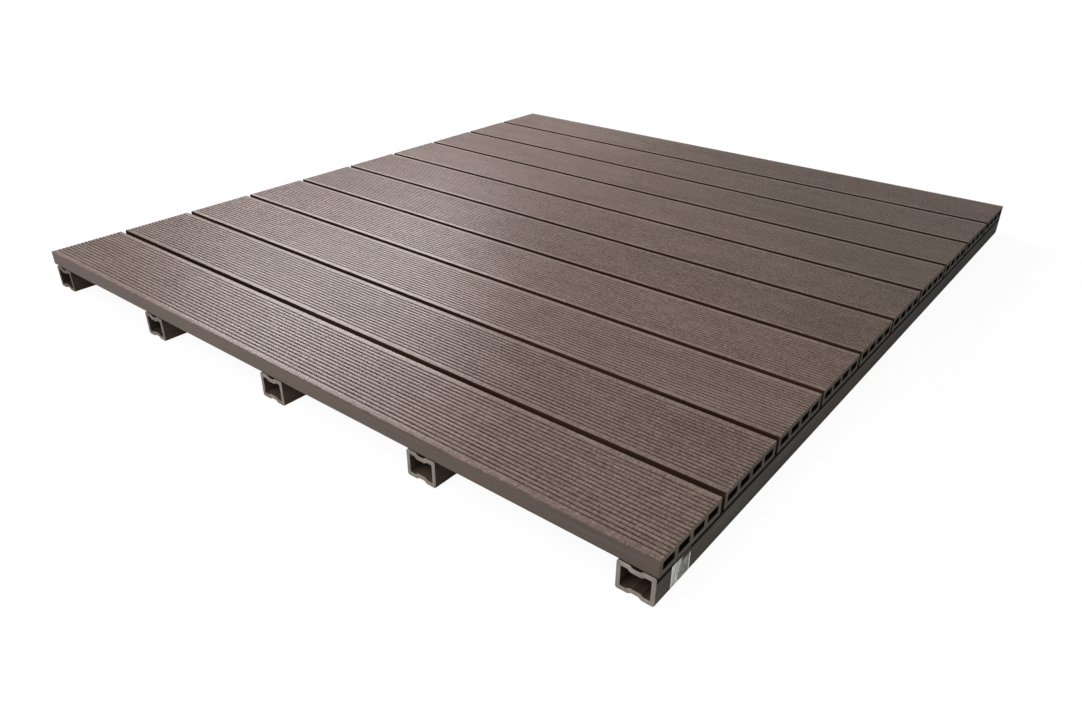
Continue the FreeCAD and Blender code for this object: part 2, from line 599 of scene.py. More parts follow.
@dataclass(frozen=True)
class BrushedTop(Composite):
    """Brushed walking face: wire brushing opens the skin, so it is paler, duller and streaky.

    The grooves aren't reached by the brush and hold dust, so they stay dark; painted shade deepens
    them too. A pair of sizes is a streak's length and width.
    """

    pale: str = "#776860"
    deep: str = "#564943"
    fleck: str = "#95887F"
    groove: str = "#2A1D17"
    gloss: float = 0.03
    roughness: tuple[float, float] = (0.28, 0.36)
    # Real brush lines are 0.2 to 0.4 mm wide; 1.1 mm is the finest that shows from 1.5 m
    line: tuple[float, float] = (40.0, 1.1)
    line_share: float = 0.35
    # The brush chatters across the board every millimetre or so, drawn at 1.3 mm
    chatter: tuple[float, float] = (1.3, 6.0)
    chatter_share: float = 0.5
    cloud: tuple[float, float] = (140.0, 34.0)
    cloud_share: float = 0.15
    marks_span: tuple[float, float] = (0.38, 0.62)
    paleness: tuple[float, float] = (-0.11, 0.89)
    bar_paleness: float = 0.22
    # Flecks of wood flour, 1 to 3 mm long
    flour: tuple[float, float] = (3.5, 1.3)
    fleck_span: tuple[float, float] = (0.67, 0.75)
    fleck_share: float = 0.3
    fleck_relief: float = 0.7
    relief: float = 0.12
    # Dust and painted shade darken the grooves to an uneven level, and less of them is painted to the left
    dust_and_shade: tuple[float, float] = (11.0, 4.0)
    dust_and_shade_rim: float = 64.5
    dust_and_shade_floor: float = 63.9
    dust_and_shade_wander: float = 1.2
    dust_and_shade_from: tuple[float, float] = (-650.0, 150.0)
    least_dust_and_shade: float = 0.72

    def dress(self, add: Adder) -> dict[str, Any]:
        """Brush lines, marks across them, soft cloudiness, wood flecks and grooves dark with dust and
        painted shade.

        Args:
            add: Adds a node to the material.

        Returns:
            What goes into the Principled shader, by socket.
        """
        place, bar, spot = self.bar_places(add)
        lines = self.streaks(add, place, self.line)
        chatter = self.streaks(add, place, self.chatter, 1.0)
        clouds = self.streaks(add, place, self.cloud)
        marks = add("Math", TIMES, (lines, self.line_share))
        marks = add("Math", TIMES_PLUS, (chatter, self.chatter_share, marks))
        share = add("Math", TIMES_PLUS, (clouds, self.cloud_share, marks))
        share = add("MapRange", STEP, (share, *self.marks_span, *self.paleness))
        share = add("Math", TIMES_PLUS, (bar, self.bar_paleness, share))
        body = add("Mix", COLOURS, {0: share, UNDER: colour(self.deep), OVER: colour(self.pale)}, MIXED)
        flour = self.streaks(add, place, self.flour, 0.0)
        flecks = add("MapRange", STEP, (flour, *self.fleck_span, 0.0, self.fleck_share))
        body = add("Mix", COLOURS, {0: flecks, UNDER: body, OVER: colour(self.fleck)}, MIXED)
        # The grooves' dark colour is dust and painted shade, lighter toward the left
        dust_and_shade = self.streaks(add, place, self.dust_and_shade, 1.0)
        across, height = (add("SeparateXYZ", None, (spot,), axis) for axis in "XZ")
        height = add("Math", TIMES_PLUS, (dust_and_shade, self.dust_and_shade_wander * MM, height))
        rim, floor = ((level + self.dust_and_shade_wander / 2) * MM for level in (self.dust_and_shade_rim, self.dust_and_shade_floor))
        sunk = add("MapRange", STEP, (height, rim, floor))
        left, right = (edge * MM for edge in self.dust_and_shade_from)
        dust_and_shade_left_ramp = add("MapRange", STEP, (across, left, right, self.least_dust_and_shade))
        share = add("Math", TIMES, (sunk, dust_and_shade_left_ramp))
        body = add("Mix", COLOURS, {0: share, UNDER: body, OVER: colour(self.groove)}, MIXED)
        relief = add("Math", TIMES_PLUS, (flecks, self.fleck_relief, marks))
        return {
            "Base Color": self.lay_painted_shade(add, spot, body),
            "Roughness": add("MapRange", STEP, (lines, *NOISE_SPAN, *self.roughness)),
            "Specular IOR Level": self.gloss,
            "Normal": add("Bump", inputs={"Distance": self.relief * MM, "Height": relief}),
        }


@dataclass(frozen=True)
class ExtrudedSkin(Composite):
    """Skin as it leaves the die: smooth, darker, a little waxy, with faint lines along the bar."""

    pale: str = "#5E4E48"
    deep: str = "#4D4339"
    gloss: float = 0.3
    roughness: tuple[float, float] = (0.5, 0.62)
    # Die lines are hairlines; 1.6 mm is the finest that shows
    line: tuple[float, float] = (400.0, 1.6)
    cloud: tuple[float, float] = (160.0, 18.0)
    span: tuple[float, float] = (0.35, 0.65)
    paleness: tuple[float, float] = (-0.15, 0.85)
    bar_paleness: float = 0.3
    relief: float = 0.05

    def dress(self, add: Adder) -> dict[str, Any]:
        """Faint die lines and slow changes of tone.

        Args:
            add: Adds a node to the material.

        Returns:
            What goes into the Principled shader, by socket.
        """
        place, bar, spot = self.bar_places(add)
        lines = self.streaks(add, place, self.line, 1.0)
        clouds = self.streaks(add, place, self.cloud)
        share = add("Math", TIMES, (add("Math", PLUS, (lines, clouds)), 0.5))
        share = add("MapRange", STEP, (share, *self.span, *self.paleness))
        share = add("Math", TIMES_PLUS, (bar, self.bar_paleness, share))
        body = add("Mix", COLOURS, {0: share, UNDER: colour(self.deep), OVER: colour(self.pale)}, MIXED)
        return {
            "Base Color": self.lay_painted_shade(add, spot, body),
            "Roughness": add("MapRange", STEP, (clouds, *NOISE_SPAN, *self.roughness)),
            "Specular IOR Level": self.gloss,
            "Normal": add("Bump", inputs={"Distance": self.relief * MM, "Height": lines}),
        }


@dataclass(frozen=True)
class SawnEnd(Composite):
    """Sawn end: torn wood flour and plastic, paler than the skin, rough, with arcs of the blade."""

    pale: str = "#948A81"
    deep: str = "#776E67"
    fleck: str = "#AEA49B"
    gloss: float = 0.25
    roughness: float = 0.85
    # Wood flour is 0.2 to 0.5 mm; 1.3 mm grains are the finest that show
    grain_size: float = 1.3
    grain_share: float = 0.55
    stain_size: float = 14.0
    stain_share: float = 0.45
    span: tuple[float, float] = (0.36, 0.64)
    fleck_span: tuple[float, float] = (0.64, 0.72)
    fleck_share: float = 0.5
    # Blade arcs a few millimetres apart, from a blade whose middle is far below the bar
    blade_middle: tuple[float, float, float] = (50.0, 50.0, 140.0)
    arc_size: float = 8.0
    arc_relief: float = 0.35
    relief: float = 0.18

    def dress(self, add: Adder) -> dict[str, Any]:
        """Grains of wood flour, stains and faint arcs left by the saw.

        Args:
            add: Adds a node to the material.

        Returns:
            What goes into the Principled shader, by socket.
        """
        place, _, spot = self.bar_places(add)
        scale = 1 / (self.grain_size * MM)
        grains = add("TexNoise", inputs={"Vector": place, "Scale": scale, "Roughness": 0.6})
        scale = 1 / (self.stain_size * MM)
        stains = add("TexNoise", inputs={"Vector": place, "Scale": scale, "Detail": 1.0})
        middle = tuple(distance * MM for distance in self.blade_middle)
        blade = add("Mapping", inputs={"Vector": place, "Location": middle})
        arcs = add(
            "TexWave",
            {"wave_type": "RINGS", "rings_direction": "SPHERICAL"},
            {"Vector": blade, "Scale": 1 / (self.arc_size * MM), "Distortion": 1.5, "Detail": 1.0},
            "Fac",
        )
        share = add("Math", TIMES, (grains, self.grain_share))
        share = add("Math", TIMES_PLUS, (stains, self.stain_share, share))
        share = add("MapRange", STEP, (share, *self.span))
        body = add("Mix", COLOURS, {0: share, UNDER: colour(self.deep), OVER: colour(self.pale)}, MIXED)
        flecks = add("MapRange", STEP, (grains, *self.fleck_span, 0.0, self.fleck_share))
        body = add("Mix", COLOURS, {0: flecks, UNDER: body, OVER: colour(self.fleck)}, MIXED)
        relief = add("Math", TIMES_PLUS, (arcs, self.arc_relief, grains))
        return {
            "Base Color": self.lay_painted_shade(add, spot, body),
            "Roughness": self.roughness,
            "Specular IOR Level": self.gloss,
            "Normal": add("Bump", inputs={"Distance": self.relief * MM, "Height": relief}),
        }


@dataclass(frozen=True)
class StainlessSteel(Finish):
    """Stainless steel, cold formed and lightly tumbled: soft highlights and small scuffs."""

    tint: str = "#C3C4C6"
    scuffed: str = "#A3A4A7"
    scuff_size: float = 1.2
    scuff_span: tuple[float, float] = (0.4, 0.65)
    dull_span: tuple[float, float] = (0.35, 0.7)
    roughness: tuple[float, float] = (0.24, 0.42)

    def dress(self, add: Adder) -> dict[str, Any]:
        """Small scuffs in colour and gloss.

        Args:
            add: Adds a node to the material.

        Returns:
            What goes into the Principled shader, by socket.
        """
        spot = add("TexCoord", output="Object")
        scale = 1 / (self.scuff_size * MM)
        scuffs = add("TexNoise", inputs={"Vector": spot, "Scale": scale, "Detail": 3.0})
        share = add("MapRange", STEP, (scuffs, *self.scuff_span))
        tones = {UNDER: colour(self.tint), OVER: colour(self.scuffed)}
        return {
            "Base Color": add("Mix", COLOURS, {0: share, **tones}, MIXED),
            "Roughness": add("MapRange", STEP, (scuffs, *self.dull_span, *self.roughness)),
            "Metallic": 1.0,
        }


@dataclass(frozen=True)
class LabelPaper(Finish):
    """Uncoated paper in plain fields without print: matt, with scuffs and a dark upper edge of painted
    shade under the boards, reaching lower over the grey field.

    Its sizes are millimetres from the label's low front corner, along the joist and up.
    """

    corner: tuple[float, float]
    size: tuple[float, float]
    paper: str = "#E9ECE6"
    streak: str = "#ABB0A8"
    field_tone: str = "#7C7E79"
    field_speck: str = "#B2B3AD"
    dark_edge_and_shade: str = "#3C3530"
    margin: str = "#FFFFFF"
    gloss: float = 0.05
    roughness: tuple[float, float] = (0.55, 0.75)
    split: float = 16.0
    split_lean: float = 6.0
    lean_start: float = 18.0
    pale_drop: float = 2.5
    grey_drop: float = 8.5
    ragged: float = 5.0
    margin_width: float = 2.0
    blur: float = 0.4
    streak_size: tuple[float, float] = (1.6, 16.0)
    streak_span: tuple[float, float] = (0.42, 0.6)
    smudge_size: float = 2.6
    smudge_span: tuple[float, float] = (0.44, 0.58)

    def beyond(self, add: Adder, along: Any, line: float) -> Any:
        """Say whether a point lies past a line, with a soft edge.

        Args:
            add: Adds a node to the material.
            along: The coordinate's socket.
            line: Where the line is, in millimetres.

        Returns:
            The socket, 0 before the line and 1 after it.
        """
        return add("MapRange", STEP, (along, (line - self.blur) * MM, (line + self.blur) * MM))

    def dress(self, add: Adder) -> dict[str, Any]:
        """A streaky pale field beside a mottled grey one, pale margins and a dark ragged upper edge.

        Args:
            add: Adds a node to the material.

        Returns:
            What goes into the Principled shader, by socket.
        """
        spot = add("TexCoord", output="Object")
        along, up = (add("SeparateXYZ", None, (spot,), axis) for axis in "YZ")
        start, end = self.corner[0], self.corner[0] + self.size[0]
        foot, head = self.corner[1], self.corner[1] + self.size[1]
        after_margin = self.beyond(add, along, start + self.margin_width)
        last_margin = self.beyond(add, along, end - self.margin_width)
        # The pale field widens near its upper edge
        reach = ((foot + self.lean_start) * MM, head * MM)
        lean = add("MapRange", STEP, (up, *reach, 0.0, -self.split_lean * MM))
        after_split = self.beyond(add, add("Math", PLUS, (along, lean)), start + self.split)
        scale = (1.0, *(1 / (extent * MM) for extent in self.streak_size))
        upright = add("Mapping", inputs={"Vector": spot, "Scale": scale})
        streaks = add("TexNoise", inputs={"Vector": upright, "Scale": 1.0})
        scale = 1 / (self.smudge_size * MM)
        smudges = add("TexNoise", inputs={"Vector": spot, "Scale": scale, "Detail": 3.0})
        share = add("MapRange", STEP, (streaks, *self.streak_span))
        tones = {UNDER: colour(self.paper), OVER: colour(self.streak)}
        pale = add("Mix", COLOURS, {0: share, **tones}, MIXED)
        share = add("MapRange", STEP, (smudges, *self.smudge_span))
        tones = {UNDER: colour(self.field_tone), OVER: colour(self.field_speck)}
        grey = add("Mix", COLOURS, {0: share, **tones}, MIXED)
        margin = colour(self.margin)
        body = add("Mix", COLOURS, {0: after_split, UNDER: pale, OVER: grey}, MIXED)
        body = add("Mix", COLOURS, {0: after_margin, UNDER: margin, OVER: body}, MIXED)
        body = add("Mix", COLOURS, {0: last_margin, UNDER: body, OVER: margin}, MIXED)
        # The dark upper edge is painted shade under the boards
        # The dark edge hangs lower over the grey field, and unevenly
        lower = (self.grey_drop - self.pale_drop) * MM
        hung = add("Math", TIMES_PLUS, (after_split, lower, up))
        hung = add("Math", TIMES_PLUS, (smudges, self.ragged * MM, hung))
        edge = self.beyond(add, hung, head - self.pale_drop + self.ragged / 2)
        body = add("Mix", COLOURS, {0: edge, UNDER: body, OVER: colour(self.dark_edge_and_shade)}, MIXED)
        return {
            "Base Color": body,
            "Roughness": add("MapRange", STEP, (smudges, *NOISE_SPAN, *self.roughness)),
            "Specular IOR Level": self.gloss,
        }


class BoardSlot(Enum):
    """Order of the finishes on a board."""

    TOP = 0
    SKIN = 1
    END = 2
    GAP = 3
    CHAMBER = 4


class JoistSlot(Enum):
    """Order of the finishes on a joist."""

    SKIN = 0
    END = 1
    CAVITY = 2
    SEAT = 3
    PAINTED_LIT_SIDE = 4


@dataclass
class Bars:
    """Bars of one extruded section with a row of upright holes, one for each of its CAD nodes."""

    nodes: tuple[str, ...]
    slot: str
    # 0 where the bars lie along X and 1 where they lie along Y
    along: int
    length: float
    width: float
    arris: float
    arris_segments: int
    hole_radius: float
    hole_end: float
    finishes: dict[Any, Finish]

    def section(self) -> bpy.types.Object:
        """Draw the section's outlines in the YZ plane."""
        raise NotImplementedError

    def finish_at(self, face: bpy.types.MeshPolygon, aside: float, height: float, outward: int) -> Enum:
        """Choose the finish of one face of a bar.

        Args:
            face: The face, the bar in its place.
            aside: From the bar's middle to the face's, across the bar, in metres.
            height: From the bar's underside to the face's middle, in metres.
            outward: -1 or 1 where the bar's side of that sign looks out of the panel, else 0.

        Returns:
            The slot of its finish.
        """
        raise NotImplementedError

    def model(self, hole_places: Sequence[float]) -> bpy.types.Object:
        """Model one bar along X with its low corner at the origin.

        Args:
            hole_places: Distance of each hole from the bar's low end, in metres.

        Returns:
            The finished bar, its finishes in their slots.
        """
        thing = self.section()
        with Bench(thing) as bench:
            bench.fill()
            bench.draw_out(self.length * MM)
            bench.break_end_edges(self.arris * MM, self.arris_segments)
        spots = [(place / MM, self.width / 2) for place in hole_places]
        drill(thing, self.hole_radius, self.hole_end, spots)
        smooth(thing)
        for slot in sorted(self.finishes, key=lambda slot: slot.value):
            thing.data.materials.append(self.finishes[slot].build())
        return thing

    def build(self, hole_places: Sequence[float]) -> list[bpy.types.Object]:
        """Model a bar, copy it to each node's place and dress the copies.

        Args:
            hole_places: Where the holes stand along the bars, in metres.

        Returns:
            The bars.
        """
        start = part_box(self.nodes[0])[0][self.along]
        master = self.model([place - start for place in hole_places])
        outward = {self.nodes[0]: -1, self.nodes[-1]: 1}
        across = 1 - self.along
        bars = []
        for node in self.nodes:
            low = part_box(node)[0]
            bar = copy_of(master, "deck_" + node, low)
            middle = low[across] + self.width / 2 * MM
            for face in bar.data.polygons:
                aside, height = face.center[across] - middle, face.center.z - low.z
                face.material_index = self.finish_at(face, aside, height, outward.get(node, 0)).value
            put_in_frame(bar, node)
            bars.append(bar)
        bpy.data.objects.remove(master)
        return bars


@dataclass
class DeckBoards(Bars):
    """Ten boards of one extruded section: ribs on top, four chambers, rounded long edges."""

    nodes: tuple[str, ...] = BOARD_NODES
    slot: str = "deck_board"
    along: int = 0
    length: float = 1310.0
    width: float = 135.0
    thickness: float = 25.0
    top_radius: float = 1.5
    bottom_radius: float = 2.0
    edge_segments: int = 5
    groove_count: int = 17
    groove_pitch: float = 7.0
    groove_mouth: float = 2.6
    groove_floor: float = 1.4
    groove_depth: float = 1.2
    rib_radius: float = 0.35
    rib_segments: int = 3
    chamber_count: int = 4
    chamber_width: float = 24.0
    chamber_height: float = 11.0
    chamber_web: float = 8.0
    chamber_floor: float = 7.0
    chamber_side_wall: float = 7.5
    chamber_radius: float = 1.5
    chamber_segments: int = 4
    arris: float = 0.3
    arris_segments: int = 1
    hole_radius: float = 2.1
    hole_end: float = 17.5
    # From the top to just under the rounded long edges
    brush_reach: float = 2.0
    finishes: dict[BoardSlot, Finish] = field(
        default_factory=lambda: {
            BoardSlot.TOP: BrushedTop(
                "composite_brushed",
                painted_shades=(
                    # Painted shade: the tops darker toward the back, and browner toward the back right
                    PaintedShade(Way.BACK, -300.0, 700.0, 0.0, 0.08),
                    PaintedShade(Way.BACK_RIGHT, 0.0, 900.0, 0.0, 0.29, "#2B1D08"),
                ),
            ),
            BoardSlot.SKIN: ExtrudedSkin(
                # Painted shade: the front face darker toward the right
                "composite_board_skin", painted_shades=(PaintedShade(Way.RIGHT, 0.0, 600.0, 0.0, 0.25),)
            ),
            BoardSlot.END: SawnEnd(
                "composite_board_sawn",
                pale="#6F6A60",
                deep="#5A554B",
                fleck="#857E73",
                painted_shades=(
                    # Painted shade: the end darker below its top 3 mm, which leaves a pale lit edge along
                    # the top, and darker toward the back
                    PaintedShade(Way.UP, 61.0, 58.0, 0.0, 0.3),
                    PaintedShade(Way.BACK, -640.0, -480.0, 0.0, 0.42),
                    PaintedShade(Way.BACK, -480.0, 200.0, 0.0, 0.45),
                ),
            ),
            # Painted shade: the board sides that face a gap are dark, as the gaps lie in shade
            BoardSlot.GAP: ExtrudedSkin(
                "composite_gap_painted_shade", pale="#36271D", deep="#291D15", gloss=0.0
            ),
            # Painted shade: the chambers' insides are dark
            BoardSlot.CHAMBER: ExtrudedSkin(
                "composite_chamber_painted_shade", pale="#241C17", deep="#1A1410", gloss=0.0
            ),
        }
    )

    def ribs(self) -> bpy.types.Object:
        """Draw one groove on a short edge, round its corners and repeat it across the board.

        Returns:
            An open line of edges, from the first rib to the last.
        """
        row = self.groove_count * self.groove_pitch
        start = (self.width - row) / 2
        middle, top = (start + self.groove_pitch / 2) * MM, self.thickness * MM
        mouth, floor = self.groove_mouth / 2 * MM, self.groove_floor / 2 * MM
        # Only the upper edge of this rectangle is kept, so any height does
        thing = standing_outline("ribs", (start * MM, top - MM), (self.groove_pitch * MM, MM))
        with Bench(thing) as bench:
            bench.pick(Element.VERT, lambda vert: not near(vert.co.z, top))
            bpy.ops.mesh.delete(type="VERT")
            bench.cut_at([middle - mouth, middle - floor, middle + floor, middle + mouth])
            bench.pick(Element.VERT, lambda vert: near(abs(vert.co.y - middle), floor))
            bench.move(z=-self.groove_depth * MM)
            bench.round_corners(
                lambda vert: abs(vert.co.y - middle) < mouth + CLOSE,
                self.rib_radius * MM,
                self.rib_segments,
            )
        repeat(thing, self.groove_count, self.groove_pitch * MM)
        return thing

    def chambers(self) -> bpy.types.Object:
        """Draw one chamber with rounded corners and repeat it.

        Returns:
            Four closed outlines.
        """
        low = (self.chamber_side_wall * MM, self.chamber_floor * MM)
        thing = standing_outline("chambers", low, (self.chamber_width * MM, self.chamber_height * MM))
        with Bench(thing) as bench:
            bench.round_corners(lambda vert: True, self.chamber_radius * MM, self.chamber_segments)
        repeat(thing, self.chamber_count, (self.chamber_width + self.chamber_web) * MM)
        return thing

    def section(self) -> bpy.types.Object:
        """Put the ribs, the sides and the chambers together.

        Returns:
            The section's outlines, in the YZ plane.
        """
        top, width = self.thickness * MM, self.width * MM
        thing = standing_outline("deck_board", (0.0, 0.0), (width, top))
        rib_start = (self.width - self.groove_count * self.groove_pitch) / 2 * MM
        with Bench(thing) as bench:
            bench.pick(Element.EDGE, lambda edge: all(near(vert.co.z, top) for vert in edge.verts))
            bpy.ops.mesh.delete(type="EDGE")
        join(thing, [self.ribs()])
        with Bench(thing) as bench:
            for corner, rib in ((0.0, rib_start), (width, width - rib_start)):
                bench.pick(
                    Element.VERT,
                    lambda vert: near(vert.co.z, top)
                    and (near(vert.co.y, corner) or near(vert.co.y, rib)),
                )
                bpy.ops.mesh.edge_face_add()
            for height, radius in ((top, self.top_radius), (0.0, self.bottom_radius)):
                bench.round_corners(
                    lambda vert: near(vert.co.z, height)
                    and (near(vert.co.y, 0.0) or near(vert.co.y, width)),
                    radius * MM,
                    self.edge_segments,
                )
        return join(thing, [self.chambers()])

    def finish_at(self, face: bpy.types.MeshPolygon, aside: float, height: float, outward: int) -> Enum:
        """Choose the finish of one face of a board.

        Args:
            face: The face, the board in its place.
            aside: From the board's middle to the face's, along Y, in metres.
            height: From the board's underside to the face's middle, in metres.
            outward: -1 for the front board, 1 for the back one, else 0.

        Returns:
            The slot of its finish.
        """
        wall, half = self.chamber_floor * MM * PAST_WALL, self.width / 2 * MM
        if abs(face.normal.x) > FACING:
            return BoardSlot.END
        # The chambers' insides get their dark painted shade
        if abs(aside) < half - wall and wall < height < self.thickness * MM - wall:
            return BoardSlot.CHAMBER
        # Sides that face a gap get the dark painted shade
        by_a_gap = half - abs(aside) < self.top_radius * MM and aside * outward <= 0
        if by_a_gap and abs(face.normal.y) > FACING:
            return BoardSlot.GAP
        is_brushed = height > (self.thickness - self.brush_reach) * MM and abs(face.normal.y) < SQUARE
        return BoardSlot.TOP if is_brushed else BoardSlot.SKIN


@dataclass
class Joists(Bars):
    """Five joists of one extruded tube, with a dent along the middle of its top and bottom webs."""

    nodes: tuple[str, ...] = JOIST_NODES
    slot: str = "joist"
    along: int = 1
    length: float = 1430.0
    width: float = 50.0
    height: float = 40.0
    side_wall: float = 5.5
    web_wall: float = 6.0
    corner_radius: float = 3.0
    inner_radius: float = 1.2
    corner_segments: int = 6
    dent_mouth: float = 17.0
    dent_floor: float = 10.0
    dent_depth: float = 3.0
    dent_setback: float = 1.6
    dent_segments: int = 5
    arris: float = 0.4
    arris_segments: int = 2
    hole_radius: float = 2.2
    hole_end: float = 41.0
    # From the top to just under the dent's floor and the rounded corners
    seat_reach: float = 3.1
    finishes: dict[JoistSlot, Finish] = field(
        default_factory=lambda: {
            JoistSlot.SKIN: ExtrudedSkin(
                "composite_joist_skin",
                Grain.ALONG_JOISTS,
                # Painted shade: the left joists darker, and the sides darker toward the top, under the
                # boards
                (PaintedShade(Way.RIGHT, -600.0, -200.0, 0.35, 0.0), PaintedShade(Way.UP, 18.0, 36.0, 0.0, 0.35)),
                pale="#4B4037",
                deep="#40352E",
                gloss=0.0,
            ),
            # Painted light: a lighter copy of the joist skin for the end joists' outer sides, greyer toward
            # the back, with a dark band of painted shade along the top under the boards
            JoistSlot.PAINTED_LIT_SIDE: ExtrudedSkin(
                "composite_joist_painted_lit_side",
                Grain.ALONG_JOISTS,
                (
                    PaintedShade(Way.BACK, -300.0, 500.0, 0.0, 0.4, "#606665"),
                    PaintedShade(Way.UP, 31.0, 33.5, 0.0, 0.95),
                ),
                pale="#69645E",
                deep="#5A5651",
                gloss=0.0,
            ),
            JoistSlot.END: SawnEnd(
                "composite_joist_sawn",
                Grain.ALONG_JOISTS,
                # Painted shade: the joist ends darker toward the left, all but the right joist's
                (
                    PaintedShade(Way.RIGHT, -600.0, -150.0, 0.5, 0.0),
                    PaintedShade(Way.RIGHT, 250.0, 600.0, 0.15, 0.0),
                ),
            ),
            # Painted shade: the hollow darker than the skin, and darker still toward the left
            JoistSlot.CAVITY: ExtrudedSkin(
                "composite_cavity_painted_shade",
                Grain.ALONG_JOISTS,
                (PaintedShade(Way.RIGHT, -650.0, 0.0, 0.6, 0.0, "#14110C"),),
                pale="#43372F",
                deep="#302822",
                gloss=0.0,
            ),
            # Painted shade: the seat under the boards is dark, all but its front millimetre, which keeps a
            # pale colour like the sawn end
            JoistSlot.SEAT: ExtrudedSkin(
                "composite_seat_painted_shade",
                Grain.ALONG_JOISTS,
                (PaintedShade(Way.BACK, -714.6, -713.6, 0.0, 1.0, "#211914"),),
                pale="#8C8279",
                deep="#766D66",
                gloss=0.0,
            ),
        }
    )

    def loop(self, name: str, inset: tuple[float, float], shift: float, radius: float) -> bpy.types.Object:
        """Draw one closed outline with its two dents.

        Args:
            name: The object's name.
            inset: How far it stands in from the tube's outside, across and up, in millimetres.
            shift: How much further the dent's corners stand apart, in millimetres.
            radius: Radius of its four corners, in millimetres.

        Returns:
            The outline, in the YZ plane.
        """
        across, up = inset
        size = ((self.width - 2 * across) * MM, (self.height - 2 * up) * MM)
        thing = standing_outline(name, (across * MM, up * MM), size)
        middle = self.width / 2 * MM
        mouth, floor = (self.dent_mouth / 2 + shift) * MM, (self.dent_floor / 2 + shift) * MM
        with Bench(thing) as bench:
            bench.cut_at([middle - mouth, middle - floor, middle + floor, middle + mouth])
            for height, way in (((self.height - up) * MM, -1), (up * MM, 1)):
                bench.pick(
                    Element.VERT,
                    lambda vert: near(vert.co.z, height) and near(abs(vert.co.y - middle), floor),
                )
                bench.move(z=way * self.dent_depth * MM)
            bench.round_corners(
                lambda vert: abs(vert.co.y - middle) < mouth + CLOSE,
                self.dent_setback * MM,
                self.dent_segments,
            )
            bench.round_corners(
                lambda vert: abs(vert.co.y - middle) > size[0] / 2 - CLOSE,
                radius * MM,
                self.corner_segments,
            )
        return thing

    def section(self) -> bpy.types.Object:
        """Put the tube's outside and its cavity together.

        Returns:
            The section's outlines, in the YZ plane.
        """
        slope = math.atan2(self.dent_depth, (self.dent_mouth - self.dent_floor) / 2)
        shift = self.web_wall * math.tan(slope / 2)
        outside = self.loop("joist_bar", (0.0, 0.0), 0.0, self.corner_radius)
        inset = (self.side_wall, self.web_wall)
        return join(outside, [self.loop("cavity", inset, shift, self.inner_radius)])

    def model(self, hole_places: Sequence[float]) -> bpy.types.Object:
        """Model one joist and turn it along Y, its low corner at the origin.

        Args:
            hole_places: Distance of each screw hole from the joist's front end, in metres.

        Returns:
            The finished joist, its finishes in their slots.
        """
        thing = super().model(hole_places)
        thing.data.transform(Matrix.Rotation(math.pi / 2, 4, "Z"))
        thing.data.transform(Matrix.Translation((self.width * MM, 0.0, 0.0)))
        return thing

    def finish_at(self, face: bpy.types.MeshPolygon, aside: float, height: float, outward: int) -> Enum:
        """Choose the finish of one face of a joist.

        Args:
            face: The face, the joist in its place.
            aside: From the joist's middle to the face's, along X, in metres.
            height: From the joist's underside to the face's middle, in metres.
            outward: -1 for the left joist, 1 for the right one, else 0.

        Returns:
            The slot of its finish.
        """
        wall, half = self.side_wall * MM * PAST_WALL, self.width / 2 * MM
        if abs(face.normal.y) > FACING:
            return JoistSlot.END
        if abs(aside) < half - wall and wall < height < self.height * MM - wall:
            return JoistSlot.CAVITY
        # The seat under the boards gets its dark painted shade
        if height > (self.height - self.seat_reach) * MM and face.normal.z > LEANING:
            return JoistSlot.SEAT
        # The end joists' outer sides get the lighter copy of the skin, as painted light
        return JoistSlot.PAINTED_LIT_SIDE if face.normal.x * outward > LEANING else JoistSlot.SKIN


